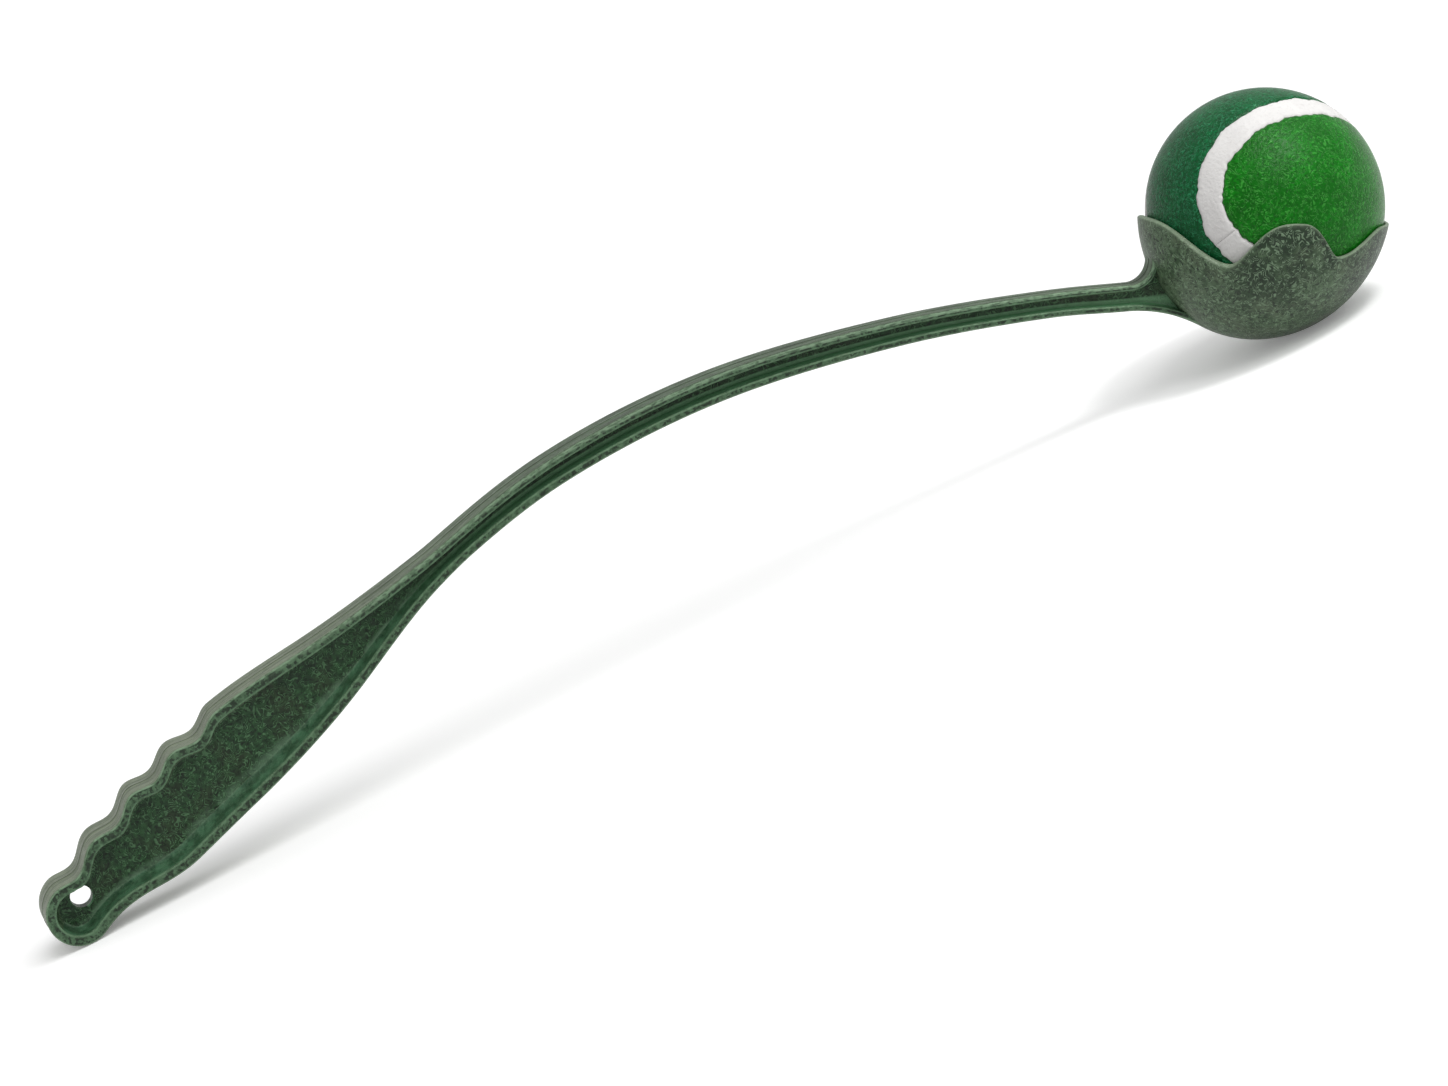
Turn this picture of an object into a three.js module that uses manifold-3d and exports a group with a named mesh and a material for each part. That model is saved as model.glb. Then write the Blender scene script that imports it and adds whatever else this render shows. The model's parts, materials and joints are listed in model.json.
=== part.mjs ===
// Dog ball thrower: a one-piece moulded launcher with a felt-covered ball in its cup.
//
// Units are millimetres and +Z is up. The launcher is drawn in its own plane: the ball's centre is the
// origin, +X points away from the arm, +Y points out of the cup's mouth and +Z is square to the plane.
// The whole thrower is then stood on its butt and the cup's round bottom, with the arm arching over the
// floor, its long side along +X and the origin under its middle.

import * as THREE from "three";
import { mergeVertices } from "three/addons/utils/BufferGeometryUtils.js";
import Module from "manifold-3d";

const wasm = await Module();
wasm.setup();

// The ball: two cemented rubber half shells, two felt blanks and a strip along the seam between them.
const ballDiameter = 65;
const feltThickness = 2.6;
const coreWall = 3.3;
const glueGap = 0.3;
const stripWidth = 7.8;
const stripJoinGap = 0.5;
const seamLobeShare = 0.25;
const stripJoinAngle = 325;
const ballRollAngle = -123;
const ballPitchAngle = -56;
const ballYawAngle = -54;

// The cup: its outside is egg-shaped, so the wall is thin at the lip and thickest at the heel by the arm.
const cupClearance = 0.3;
const lipWall = 0.6;
const sideWall = 1.4;
const heelWall = 3.8;
const heelAngle = -118;

// The petals: how far each tip and each valley lies below the ball's centre, and where, from the front.
const frontTipDrop = 2.9;
const frontValleyDrop = 10.7;
const sideTipDrop = 1.2;
const backValleyDrop = 13.8;
const backTipDrop = 2.8;
const frontTipEdgeAzimuth = 34;
const frontValleyAzimuth = 68;
const sideTipAzimuth = 90;
const backValleyAzimuth = 124;

// The spine, from the butt's centre to the root at the cup, as shares of how far back and down it starts.
const reach = 320;
const drop = 189.5;
const spineShares = [
  [1, 1],
  [0.969, 0.938],
  [0.934, 0.881],
  [0.867, 0.77],
  [0.798, 0.665],
  [0.714, 0.527],
  [0.612, 0.384],
  [0.481, 0.267],
  [0.321, 0.1835],
  [0.1875, 0.142],
  [0.122, 0.131],
];

// Places along the spine, measured from the butt's centre.
const waistAt = 4;
const bellyStart = 33;
const palmStart = 40;
const palmEnd = 56;
const neckAt = 136;
const underNeckAt = 142;
const archAt = 190;
const ankleAt = 315;

// How far the beam's two edges lie from the spine at those places. The concave edge bellies out past the
// waist, and it reaches the neck a little later.
const buttRadius = 8.9;
const palmRise = 12.45;
const neckRise = 3.7;
const waistFall = 8.6;
const bellyFall = 13.15;
const neckFall = 3.3;
const archHalf = 3.5;
const ankleHalf = 3.05;
const rootHalf = 3.45;

// The beam's thickness across its plane, and its I-section, at those places.
const buttThickness = 18;
const neckThickness = 13.5;
const archThickness = 13;
const rootThickness = 8;
const buttWeb = 5;
const neckWeb = 4;
const rootWeb = 2.6;
const handleRim = 3;
const neckRim = 2.4;
const rootRim = 1.8;
const buttDraft = 0.8;
const convexPalmDraft = 0.9;
const concavePalmDraft = 2.1;
const armDraft = 0.3;

// Finger notches along the convex edge.
const notchCount = 4;
const notchPitch = 15.5;
const notchDepth = 2.4;

// The hang hole through the web, and where it lies from the butt's centre.
const holeDiameter = 6;
const holeAlong = 3.4;
const holeAside = 1.2;

// Where the two flanges run out on the cup's outline, from the front.
const upperMeetAngle = -158;
const lowerMeetAngle = -116;

// How finely round stretches are cut.
const ballSegments = 40;
const cupSegments = 48;
const buttSteps = 8;
const notchSteps = 8;
const taperStep = 5;
const armStep = 8;
const rootSteps = 6;
const stripSteps = 96;
const panelSteps = 32;
const rungSteps = 8;
const overrun = 3;
const settleRounds = 6;

const ballRadius = ballDiameter / 2;
const feltInnerRadius = ballRadius - feltThickness;
const coreRadius = feltInnerRadius - glueGap;
const cupInnerRadius = ballRadius + cupClearance;
const cupLong = cupInnerRadius + heelWall;
const cupShort = cupInnerRadius + lipWall;
const radians = THREE.MathUtils.degToRad;
const cupAxis = new THREE.Vector2(Math.cos(radians(heelAngle)), Math.sin(radians(heelAngle)));
const cupCrossAxis = new THREE.Vector2(-cupAxis.y, cupAxis.x);

// Solids

// A solid from vertices and triangles, with coincident vertices merged and empty triangles left out.
function solidFromGeometry(geometry) {
  const bare = geometry.clone();
  bare.deleteAttribute("normal");
  bare.deleteAttribute("uv");
  const merged = mergeVertices(bare);
  const index = merged.index.array;
  const triVerts = [];
  for (let i = 0; i < index.length; i += 3) {
    const [a, b, c] = [index[i], index[i + 1], index[i + 2]];
    if (a !== b && b !== c && c !== a) triVerts.push(a, b, c);
  }
  return new wasm.Manifold(new wasm.Mesh({
    numProp: 3,
    vertProperties: Float32Array.from(merged.attributes.position.array),
    triVerts: Uint32Array.from(triVerts),
  }));
}

function geometryFromSolid(solid) {
  const mesh = solid.getMesh();
  const geometry = new THREE.BufferGeometry();
  geometry.setAttribute("position", new THREE.BufferAttribute(mesh.vertProperties, 3));
  geometry.setIndex(new THREE.BufferAttribute(mesh.triVerts, 1));
  return geometry;
}

// Triangles with the solid's inside behind them, whichever way they came.
function facingOut(points, triangles) {
  const sixVolumes = triangles.map(([a, b, c]) => points[a].dot(points[b].clone().cross(points[c])));
  const total = sixVolumes.reduce((sum, volume) => sum + volume, 0);
  return total > 0 ? triangles : triangles.map(([a, b, c]) => [a, c, b]);
}

// A closed skin over a row of rings that all have as many points, either way round. The two end rings are
// capped unless the row closes on itself.
function loft(rings, closed = false) {
  const count = rings[0].length;
  const points = rings.flat();
  const triangles = [];
  const rows = closed ? rings.length : rings.length - 1;
  for (let row = 0; row < rows; row += 1) {
    const here = row * count;
    const next = ((row + 1) % rings.length) * count;
    for (let i = 0; i < count; i += 1) {
      const j = (i + 1) % count;
      triangles.push([here + i, here + j, next + j], [here + i, next + j, next + i]);
    }
  }
  if (!closed) {
    const last = (rings.length - 1) * count;
    for (let i = 1; i < count - 1; i += 1) {
      triangles.push([0, i + 1, i], [last, last + i, last + i + 1]);
    }
  }
  const geometry = new THREE.BufferGeometry().setFromPoints(points);
  geometry.setIndex(facingOut(points, triangles).flat());
  return geometry;
}

function roundSolid(halfAcross, halfAlong, halfThrough) {
  const geometry = new THREE.SphereGeometry(1, cupSegments, cupSegments / 2);
  geometry.scale(halfAcross, halfAlong, halfThrough);
  geometry.rotateZ(radians(heelAngle) + Math.PI / 2);
  return solidFromGeometry(geometry);
}

function smooth(share) {
  const x = THREE.MathUtils.clamp(share, 0, 1);
  return x * x * (3 - 2 * x);
}

// A value between stops of [place, value], eased or straight.
function between(stops, place, ease) {
  const next = stops.findIndex(([stop]) => stop >= place);
  if (next === 0) return stops[0][1];
  if (next < 0) return stops.at(-1)[1];
  const [[fromPlace, fromValue], [toPlace, toValue]] = [stops[next - 1], stops[next]];
  const share = (place - fromPlace) / (toPlace - fromPlace);
  return THREE.MathUtils.lerp(fromValue, toValue, ease ? smooth(share) : share);
}

// The launcher

const spine = new THREE.CatmullRomCurve3(
  spineShares.map(([back, down]) => new THREE.Vector3(-back * reach, -down * drop, 0)),
);
const spineLength = spine.getLength();
const gripLength = notchCount * notchPitch;

const convexStops = [
  [0, buttRadius],
  [palmStart, palmRise],
  [palmEnd, palmRise],
  [neckAt, neckRise],
  [archAt, archHalf],
  [ankleAt, ankleHalf],
  [spineLength, rootHalf],
];
const concaveStops = [
  [0, buttRadius],
  [waistAt, waistFall],
  [bellyStart, bellyFall],
  [palmEnd, bellyFall],
  [underNeckAt, neckFall],
  [archAt, archHalf],
  [ankleAt, ankleHalf],
  [spineLength, rootHalf],
];
const thicknessStops = [
  [0, buttThickness],
  [neckAt, neckThickness],
  [archAt, archThickness],
  [spineLength, rootThickness],
];
const webStops = [
  [0, buttWeb],
  [palmEnd, buttWeb],
  [neckAt, neckWeb],
  [spineLength, rootWeb],
];
const rimStops = [
  [0, handleRim],
  [palmEnd, handleRim],
  [neckAt, neckRim],
  [spineLength, rootRim],
];
const draftStops = (palmDraft) => [
  [0, buttDraft],
  [palmStart, palmDraft],
  [palmEnd, palmDraft],
  [neckAt, armDraft],
  [spineLength, armDraft],
];

function notchCut(place) {
  if (place < 0 || place > gripLength) return 0;
  return notchDepth * (1 - Math.cos((place / notchPitch) * 2 * Math.PI)) / 2;
}

// The spine's point and its left-hand normal, which points to the convex side, at a length from the butt.
function spineFrame(place) {
  const share = THREE.MathUtils.clamp(place / spineLength, 0, 1);
  const point = spine.getPointAt(share);
  const tangent = spine.getTangentAt(share);
  return {
    point: new THREE.Vector2(point.x, point.y),
    tangent: new THREE.Vector2(tangent.x, tangent.y),
    normal: new THREE.Vector2(-tangent.y, tangent.x),
  };
}

function offsetPoint(frame, along, aside) {
  return frame.point.clone().addScaledVector(frame.tangent, along).addScaledVector(frame.normal, aside);
}

// Stations round the butt: both edges lie on one circle about its centre.
function buttStations() {
  const frame = spineFrame(0);
  return Array.from({ length: buttSteps }, (_, step) => {
    const turn = (1 - step / buttSteps) * Math.PI / 2;
    const edge = (side, inset) => offsetPoint(
      frame,
      -(buttRadius - inset) * Math.sin(turn),
      side * (buttRadius - inset) * Math.cos(turn),
    );
    return { place: 0, convex: (inset) => edge(1, inset), concave: (inset) => edge(-1, inset) };
  });
}

// Stations along the spine, close together in the grip and wider apart down the arm.
function spineStations() {
  const places = [];
  let place = 0;
  while (place < spineLength - armStep / 2) {
    places.push(place);
    if (place < gripLength) place += notchPitch / notchSteps;
    else if (place < archAt) place += taperStep;
    else place += armStep;
  }
  return places.map((station) => {
    const frame = spineFrame(station);
    const rise = between(convexStops, station, true) - notchCut(station);
    const fall = between(concaveStops, station, true);
    return {
      place: station,
      convex: (inset) => offsetPoint(frame, 0, rise - inset),
      concave: (inset) => offsetPoint(frame, 0, inset - fall),
    };
  });
}

// The point of the cup's outline in a direction from its centre, and the way out from the cup there.
function cupOutline(angle) {
  const direction = new THREE.Vector2(Math.cos(radians(angle)), Math.sin(radians(angle)));
  const along = direction.dot(cupAxis) / cupLong;
  const across = direction.dot(cupCrossAxis) / cupShort;
  const point = direction.divideScalar(Math.hypot(along, across));
  const out = cupAxis.clone().multiplyScalar(along / cupLong);
  out.addScaledVector(cupCrossAxis, across / cupShort).normalize();
  return { point, out };
}

// The root's convex edge: a straight run to a fillet, which turns up the cup's back, then inward through
// the cup's wall.
function rootConvexEdge(frame, start) {
  const { point: meet, out } = cupOutline(upperMeetAngle);
  const rise = meet.clone().sub(start).dot(frame.normal);
  const radius = rise / (1 - out.dot(frame.normal));
  const centre = meet.clone().addScaledVector(out, radius);
  const sweep = Math.acos(out.dot(frame.normal));
  return (share, inset) => {
    const inside = Math.max(2 * share - 1, 0);
    const turn = Math.min(2 * share, 1) * sweep;
    const down = frame.normal.clone().multiplyScalar(-Math.cos(turn));
    const spoke = down.addScaledVector(frame.tangent, Math.sin(turn)).multiplyScalar(radius + inset);
    return spoke.add(centre).multiplyScalar(1 - inside);
  };
}

// The root's concave edge: it runs on until it touches the cup's round bottom.
function rootConcaveEdge(frame, start) {
  const { point: touch, out } = cupOutline(lowerMeetAngle);
  const slope = new THREE.Vector2(-out.y, out.x);
  const reachBack = touch.clone().sub(start).cross(frame.tangent) / slope.cross(frame.tangent);
  const corner = touch.clone().addScaledVector(slope, -reachBack);
  const curve = new THREE.QuadraticBezierCurve(start, corner, touch);
  return (share, inset) => {
    const tangent = curve.getTangent(share);
    return curve.getPoint(share).add(new THREE.Vector2(-tangent.y, tangent.x).multiplyScalar(inset));
  };
}

function rootStations() {
  const frame = spineFrame(spineLength);
  const convexEdge = rootConvexEdge(frame, offsetPoint(frame, 0, rootHalf));
  const concaveEdge = rootConcaveEdge(frame, offsetPoint(frame, 0, -rootHalf));
  return Array.from({ length: 2 * rootSteps + 1 }, (_, step) => {
    const share = step / (2 * rootSteps);
    return {
      place: spineLength,
      convex: (inset) => convexEdge(share, inset),
      concave: (inset) => concaveEdge(share, inset),
    };
  });
}

const stations = [...buttStations(), ...spineStations(), ...rootStations()];

function raised(edge, inset, height) {
  const point = edge(inset);
  return new THREE.Vector3(point.x, point.y, height);
}

function beamSolid() {
  const rings = stations.map(({ place, convex, concave }) => {
    const half = between(thicknessStops, place, false) / 2;
    return [
      raised(convex, 0, -half),
      raised(convex, 0, half),
      raised(concave, 0, half),
      raised(concave, 0, -half),
    ];
  });
  return solidFromGeometry(loft(rings));
}

// One side's recess: inside the rim, with drafted walls and a cove down to the web. The palm's lower wall
// leans the most.
function pocketSolid(side) {
  const rings = stations.map(({ place, convex, concave }) => {
    const rim = between(rimStops, place, false);
    const convexDraft = between(draftStops(convexPalmDraft), place, false);
    const concaveDraft = between(draftStops(concavePalmDraft), place, false);
    const floor = between(webStops, place, false) / 2;
    const top = between(thicknessStops, place, false) / 2 + overrun;
    return [
      raised(convex, rim, side * top),
      raised(concave, rim, side * top),
      raised(concave, rim + concaveDraft, side * (floor + concaveDraft)),
      raised(concave, rim + 2 * concaveDraft, side * floor),
      raised(convex, rim + 2 * convexDraft, side * floor),
      raised(convex, rim + convexDraft, side * (floor + convexDraft)),
    ];
  });
  return solidFromGeometry(loft(rings));
}

function holeSolid() {
  const centre = offsetPoint(spineFrame(0), holeAlong, holeAside);
  const radius = holeDiameter / 2;
  const geometry = new THREE.CylinderGeometry(radius, radius, buttThickness, ballSegments / 2);
  geometry.rotateX(Math.PI / 2);
  geometry.translate(centre.x, centre.y, 0);
  return solidFromGeometry(geometry);
}

// Each run of the rim from a petal's tip to a valley; a higher bluntness keeps the tip broad for longer.
const rimRuns = [
  { tip: frontTipEdgeAzimuth, valley: frontValleyAzimuth, tipDrop: frontTipDrop, valleyDrop: frontValleyDrop,
    bluntness: 1.1 },
  { tip: sideTipAzimuth, valley: frontValleyAzimuth, tipDrop: sideTipDrop, valleyDrop: frontValleyDrop,
    bluntness: 1.3 },
  { tip: sideTipAzimuth, valley: backValleyAzimuth, tipDrop: sideTipDrop, valleyDrop: backValleyDrop,
    bluntness: 1.6 },
  { tip: 180, valley: backValleyAzimuth, tipDrop: backTipDrop, valleyDrop: backValleyDrop, bluntness: 1.6 },
];

// How far the rim lies below the ball's centre at an azimuth in degrees from the front.
function rimDrop(azimuth) {
  const holds = ({ tip, valley }) => azimuth >= Math.min(tip, valley) && azimuth <= Math.max(tip, valley);
  const run = rimRuns.find(holds);
  if (!run) return frontTipDrop;
  const share = (azimuth - run.tip) / (run.valley - run.tip);
  return THREE.MathUtils.lerp(run.tipDrop, run.valleyDrop, smooth(share ** run.bluntness));
}

// Everything above the rim: its lower face runs in straight lines from the ball's centre over the rim.
function aboveRimSolid() {
  const span = cupLong + overrun;
  const count = 2 * cupSegments;
  const centre = new THREE.Vector3();
  const crown = new THREE.Vector3(0, span, 0);
  const rings = Array.from({ length: count }, (_, step) => {
    const turn = (step / count) * 2 * Math.PI;
    const azimuth = Math.abs(THREE.MathUtils.euclideanModulo((step / count) * 360 + 180, 360) - 180);
    const low = new THREE.Vector3(Math.cos(turn), -rimDrop(azimuth) / cupInnerRadius, Math.sin(turn));
    const high = new THREE.Vector3(Math.cos(turn), 1, Math.sin(turn));
    return [centre, low.multiplyScalar(span), high.multiplyScalar(span), crown];
  });
  return solidFromGeometry(loft(rings, true));
}

function launcherGeometry() {
  const outer = roundSolid(cupShort, cupLong, cupInnerRadius + sideWall);
  const pockets = pocketSolid(1).add(pocketSolid(-1)).subtract(outer);
  const body = beamSolid().subtract(pockets).subtract(holeSolid()).add(outer);
  const hollow = roundSolid(cupInnerRadius, cupInnerRadius, cupInnerRadius);
  return geometryFromSolid(body.subtract(hollow).subtract(aboveRimSolid()));
}

// The ball

// A half shell of the rubber core, its pole along +Z, with half of the cement line left off its rim.
function coreHalfGeometry() {
  const innerRadius = coreRadius - coreWall;
  const steps = ballSegments / 4;
  const arc = (radius) => {
    const low = Math.asin(glueGap / 2 / radius);
    return Array.from({ length: steps + 1 }, (_, step) => {
      const turn = THREE.MathUtils.lerp(low, Math.PI / 2, step / steps);
      return new THREE.Vector2(step < steps ? radius * Math.cos(turn) : 0, radius * Math.sin(turn));
    });
  };
  const profile = [...arc(innerRadius).reverse(), ...arc(coreRadius)];
  const geometry = new THREE.LatheGeometry(profile, ballSegments / 2);
  geometry.rotateX(Math.PI / 2);
  return geometryFromSolid(solidFromGeometry(geometry));
}

// The seam's direction from the ball's centre at a turn in degrees, and the direction across it.
function seamFrame(turn) {
  const lobe = seamLobeShare;
  const height = 2 * Math.sqrt(lobe * (1 - lobe));
  const angle = radians(turn);
  const point = new THREE.Vector3(
    (1 - lobe) * Math.cos(angle) + lobe * Math.cos(3 * angle),
    (1 - lobe) * Math.sin(angle) - lobe * Math.sin(3 * angle),
    height * Math.sin(2 * angle),
  ).normalize();
  const tangent = new THREE.Vector3(
    -(1 - lobe) * Math.sin(angle) - 3 * lobe * Math.sin(3 * angle),
    (1 - lobe) * Math.cos(angle) - 3 * lobe * Math.cos(3 * angle),
    2 * height * Math.cos(2 * angle),
  );
  return { point, across: new THREE.Vector3().crossVectors(point, tangent).normalize() };
}

// The direction that lies beside the seam by a length on the ball's surface.
function besideSeam(turn, length) {
  const { point, across } = seamFrame(turn);
  const angle = length / ballRadius;
  return point.multiplyScalar(Math.cos(angle)).addScaledVector(across, Math.sin(angle));
}

function stripGeometry() {
  const slack = THREE.MathUtils.radToDeg(stripJoinGap / ballRadius);
  const sides = [-1, 0, 1].map((side) => side * stripWidth / 2);
  const rings = Array.from({ length: stripSteps + 1 }, (_, step) => {
    const turn = stripJoinAngle + slack / 2 + (360 - slack) * step / stripSteps;
    const outside = sides.map((side) => besideSeam(turn, side).multiplyScalar(ballRadius));
    const inside = sides.map((side) => besideSeam(turn, side).multiplyScalar(feltInnerRadius));
    return [...outside, ...inside.reverse()];
  });
  return geometryFromSolid(solidFromGeometry(loft(rings)));
}

// A felt blank: rungs over the ball join mirrored points of its edge, from one lobe's end to the other's.
function feltGeometry(side) {
  const inset = side * (stripWidth / 2 + glueGap);
  const firstTurn = side > 0 ? -45 : 45;
  const mirror = side > 0 ? 270 : 90;
  const rings = Array.from({ length: panelSteps + 1 }, (_, step) => {
    const turn = firstTurn + 180 * step / panelSteps;
    const from = besideSeam(turn, inset);
    const to = besideSeam(mirror - turn, inset);
    const span = from.angleTo(to);
    const rung = Array.from({ length: rungSteps + 1 }, (_, rungStep) => {
      const share = rungStep / rungSteps;
      if (span < glueGap / ballRadius) return from.clone();
      const direction = from.clone().multiplyScalar(Math.sin((1 - share) * span));
      return direction.addScaledVector(to, Math.sin(share * span)).normalize();
    });
    const outside = rung.map((direction) => direction.clone().multiplyScalar(ballRadius));
    const inside = rung.map((direction) => direction.clone().multiplyScalar(feltInnerRadius));
    return [...outside, ...inside.reverse()];
  });
  return geometryFromSolid(solidFromGeometry(loft(rings)));
}

// Finishes

const mouldedPlastic = new THREE.MeshStandardMaterial({ color: 0x4f6e54, roughness: 0.5, metalness: 0 });
const coreRubber = new THREE.MeshStandardMaterial({ color: 0x2a2c2b, roughness: 0.8, metalness: 0 });
const darkFelt = new THREE.MeshStandardMaterial({ color: 0x145a37, roughness: 0.95, metalness: 0 });
const brightFelt = new THREE.MeshStandardMaterial({ color: 0x197d1e, roughness: 0.95, metalness: 0 });
const whiteStrip = new THREE.MeshStandardMaterial({ color: 0xd9d4d2, roughness: 0.9, metalness: 0 });

function piece(name, geometry, material) {
  const mesh = new THREE.Mesh(geometry, material);
  mesh.name = name;
  return mesh;
}

// Assembly

const ball = new THREE.Group();
ball.rotation.set(radians(ballRollAngle), radians(ballPitchAngle), radians(ballYawAngle), "ZYX");
const coreHalfA = piece("core_half_a", coreHalfGeometry(), coreRubber);
const coreHalfB = piece("core_half_b", coreHalfGeometry(), coreRubber);
coreHalfB.rotation.x = Math.PI;
ball.add(
  coreHalfA,
  coreHalfB,
  piece("felt_panel_dark", feltGeometry(-1), darkFelt),
  piece("felt_panel_bright", feltGeometry(1), brightFelt),
  piece("seam_band", stripGeometry(), whiteStrip),
);

const thrower = new THREE.Group();
thrower.add(piece("launcher", launcherGeometry(), mouldedPlastic), ball);

// How far the cup's outline reaches square to a line at an angle in radians.
function cupReach(angle) {
  const down = new THREE.Vector2(Math.sin(angle), -Math.cos(angle));
  return Math.hypot(cupLong * down.dot(cupAxis), cupShort * down.dot(cupCrossAxis));
}

// The floor is the line that touches the butt's circle and the cup's outline from below.
function floorAngle() {
  const chord = new THREE.Vector2(reach, drop);
  let angle = chord.angle();
  for (let round = 0; round < settleRounds; round += 1) {
    angle = chord.angle() - Math.asin((cupReach(angle) - buttRadius) / chord.length());
  }
  return angle;
}

thrower.rotation.set(Math.PI / 2, 0, -floorAngle());
thrower.updateMatrixWorld(true);
const extent = new THREE.Box3().setFromObject(thrower, true);
const middle = extent.getCenter(new THREE.Vector3());
thrower.position.set(-middle.x, -middle.y, -extent.min.z);

export default thrower;
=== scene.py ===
import json
import math
from itertools import accumulate

import bpy
from mathutils import Matrix, Vector, geometry, kdtree, noise


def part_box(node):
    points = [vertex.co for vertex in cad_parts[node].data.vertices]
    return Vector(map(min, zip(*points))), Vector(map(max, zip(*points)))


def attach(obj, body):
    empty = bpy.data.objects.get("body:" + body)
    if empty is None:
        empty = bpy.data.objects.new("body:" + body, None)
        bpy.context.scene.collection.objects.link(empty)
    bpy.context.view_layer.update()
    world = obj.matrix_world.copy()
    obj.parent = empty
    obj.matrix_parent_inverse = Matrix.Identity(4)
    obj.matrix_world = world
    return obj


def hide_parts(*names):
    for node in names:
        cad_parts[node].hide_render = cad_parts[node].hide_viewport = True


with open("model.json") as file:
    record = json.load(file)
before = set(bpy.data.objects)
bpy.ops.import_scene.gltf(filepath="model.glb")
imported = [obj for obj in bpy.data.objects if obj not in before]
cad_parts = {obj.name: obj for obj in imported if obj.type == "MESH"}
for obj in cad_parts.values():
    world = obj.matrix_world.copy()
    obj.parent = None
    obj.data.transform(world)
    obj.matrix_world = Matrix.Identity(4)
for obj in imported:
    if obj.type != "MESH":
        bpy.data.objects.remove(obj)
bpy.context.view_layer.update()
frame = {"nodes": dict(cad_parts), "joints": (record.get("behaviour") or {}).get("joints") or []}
bpy.ops.object.select_all(action="DESELECT")


# The beam: the handle and arm of the launcher, which is one moulding of plant-fibre plastic. A rim runs along both
# edges and round the butt, and a thin web joins them, so a slice through it is an I lying on its side. It is drawn
# along a spine from the butt's centre to the cup, whose knots are shares of its reach and drop from the ball.
reach, drop = 0.320, 0.1895
spine_shares = [
    (1, 1), (0.969, 0.938), (0.934, 0.881), (0.867, 0.77), (0.798, 0.665), (0.714, 0.527), (0.612, 0.384),
    (0.481, 0.267), (0.321, 0.1835), (0.1875, 0.142), (0.122, 0.131),
]
waist_at, belly_start, palm_start, palm_end = 0.004, 0.033, 0.040, 0.056
neck_at, under_neck_at, arch_at, ankle_at = 0.136, 0.142, 0.190, 0.315
butt_radius, palm_rise, neck_rise = 0.0089, 0.0127, 0.00405
waist_fall, belly_fall, neck_fall = 0.0087, 0.01345, 0.00365
arch_half, ankle_half, root_half = 0.0039, 0.00345, 0.0037
butt_thickness, neck_thickness, arch_thickness, root_thickness = 0.018, 0.0135, 0.013, 0.008
butt_web, neck_web, root_web = 0.005, 0.004, 0.0026
handle_rim, neck_rim, root_rim = 0.003, 0.0024, 0.0018
butt_cove, convex_palm_cove, concave_palm_cove, arm_cove = 0.0014, 0.0016, 0.0026, 0.0006
notch_count, notch_pitch, notch_depth = 4, 0.0155, 0.0024
outer_edge_radius, inner_edge_radius = 0.0007, 0.0004
flash_height, flash_width, outline_inset = 0.0001, 0.0003, 0.00012
upper_meet_angle, lower_meet_angle = math.radians(-158), math.radians(-116)
spine_run_points, course_reach = 64, 2
butt_step_count, root_step_count, end_rows = 20, 28, 5
notch_step, taper_step, arm_step = 0.0007, 0.0014, 0.002
side_steps, outer_corner_steps, face_steps, inner_corner_steps, cove_steps, web_columns = 3, 5, 4, 3, 9, 7
mirror_merge, weld_distance = 0.00001, 0.000005
ball_radius = 0.0325

# The launcher is its own mirror image in the plane y = 0, and it is drawn in that plane. The ball's centre is the
# origin, x points away from the arm, y points out of the cup's mouth, and a height stands out towards the camera.
mouth = Vector(frame["joints"][0]["axis"])
forward = Vector((mouth.z, 0, -mouth.x))
outward = Vector((0, -1, 0))
core_low = Vector(map(min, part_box("core_half_a")[0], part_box("core_half_b")[0]))
core_high = Vector(map(max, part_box("core_half_a")[1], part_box("core_half_b")[1]))
ball_centre = (core_low + core_high) / 2


def in_frame(x, y, height):
    """A place in the launcher's plane, and its height above it, as a point of the frame."""
    return ball_centre + forward * x + mouth * y + outward * height


def smooth(share):
    """A share from 0 to 1, eased at both ends."""
    share = min(max(share, 0), 1)
    return share * share * (3 - 2 * share)


def between(stops, place):
    """A value between stops of (place, value), eased."""
    if place <= stops[0][0]:
        return stops[0][1]
    for (start, low), (end, high) in zip(stops, stops[1:]):
        if place <= end:
            return low + (high - low) * smooth((place - start) / (end - start))
    return stops[-1][1]


def shaped_grid(name, columns, rows, place, surface):
    """A grid whose vertices go where place(column, row) says, with a UV map that surface(column, row) gives."""
    bpy.ops.mesh.primitive_grid_add(x_subdivisions=columns - 1, y_subdivisions=rows - 1, size=2)
    piece = bpy.context.object
    piece.name = piece.data.name = name
    spots = []
    for vertex in piece.data.vertices:
        column = round((vertex.co.x + 1) / 2 * (columns - 1))
        row = round((vertex.co.y + 1) / 2 * (rows - 1))
        vertex.co = place(column, row)
        spots.append(surface(column, row))
    for corner, loop in zip(piece.data.uv_layers[0].data, piece.data.loops):
        corner.uv = spots[loop.vertex_index]
    return piece


def closed_up(piece):
    """Joins the vertices that lie together and turns every face outward."""
    bpy.ops.object.mode_set(mode="EDIT")
    bpy.ops.mesh.select_all(action="SELECT")
    bpy.ops.mesh.remove_doubles(threshold=weld_distance)
    bpy.ops.mesh.dissolve_degenerate(threshold=weld_distance)
    bpy.ops.mesh.select_all(action="SELECT")
    bpy.ops.mesh.normals_make_consistent(inside=False)
    bpy.ops.object.mode_set(mode="OBJECT")


def apply(piece, kind, **settings):
    """Adds a modifier of a kind to a piece and applies it."""
    bpy.context.view_layer.objects.active = piece
    modifier = piece.modifiers.new(kind.title(), kind)
    for name, value in settings.items():
        setattr(modifier, name, value)
    bpy.ops.object.modifier_apply(modifier=modifier.name)


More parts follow.
